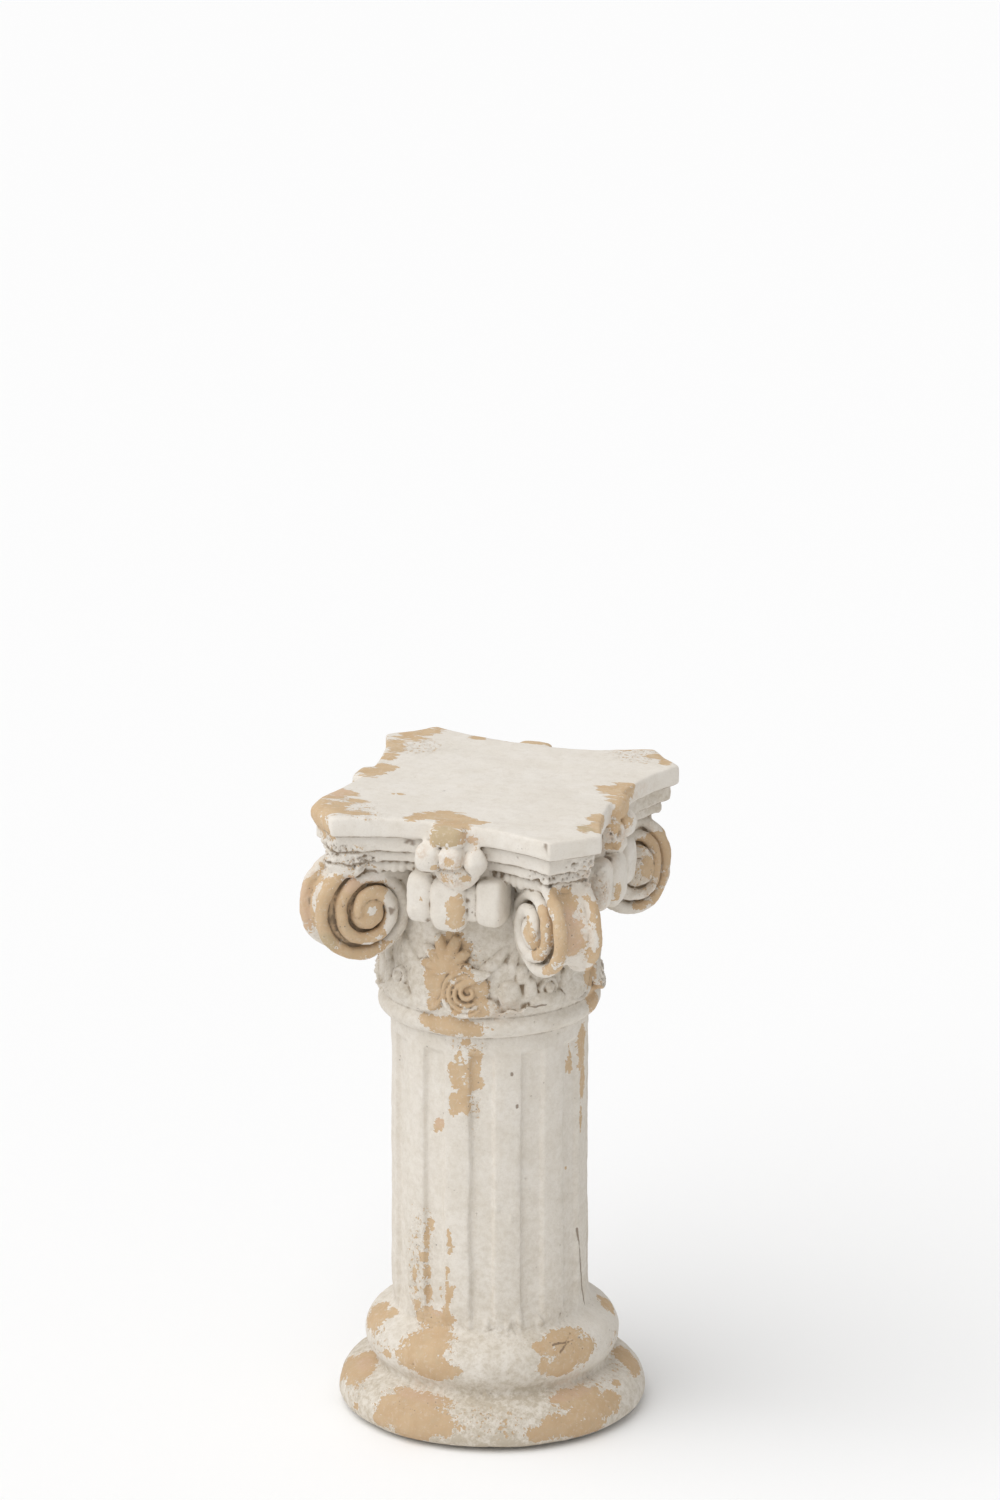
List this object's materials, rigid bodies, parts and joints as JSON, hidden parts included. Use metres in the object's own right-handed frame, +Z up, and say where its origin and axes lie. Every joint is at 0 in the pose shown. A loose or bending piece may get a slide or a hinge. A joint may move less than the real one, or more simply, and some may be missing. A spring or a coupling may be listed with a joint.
{
  "type": "garden pedestal",
  "caption": "Short fluted column on a round moulded base, with a square four-scroll capital and a flat top that holds a pot, bowl or ornament.",
  "frame": {"origin": "centre of the round base's underside, on the column's axis", "axes": "+Z up along the column; the side of the square capital that faces -Y is its front"},
  "size_m": [0.3074, 0.3047, 0.634],
  "materials": {
    "painted_casting": "chalky off-white paint, flaked in patches to the tan cement casting, with dirt in the hollows"
  },
  "bodies": {
    "root": {"pedestal": "painted_casting"}
  },
  "joints": []
}
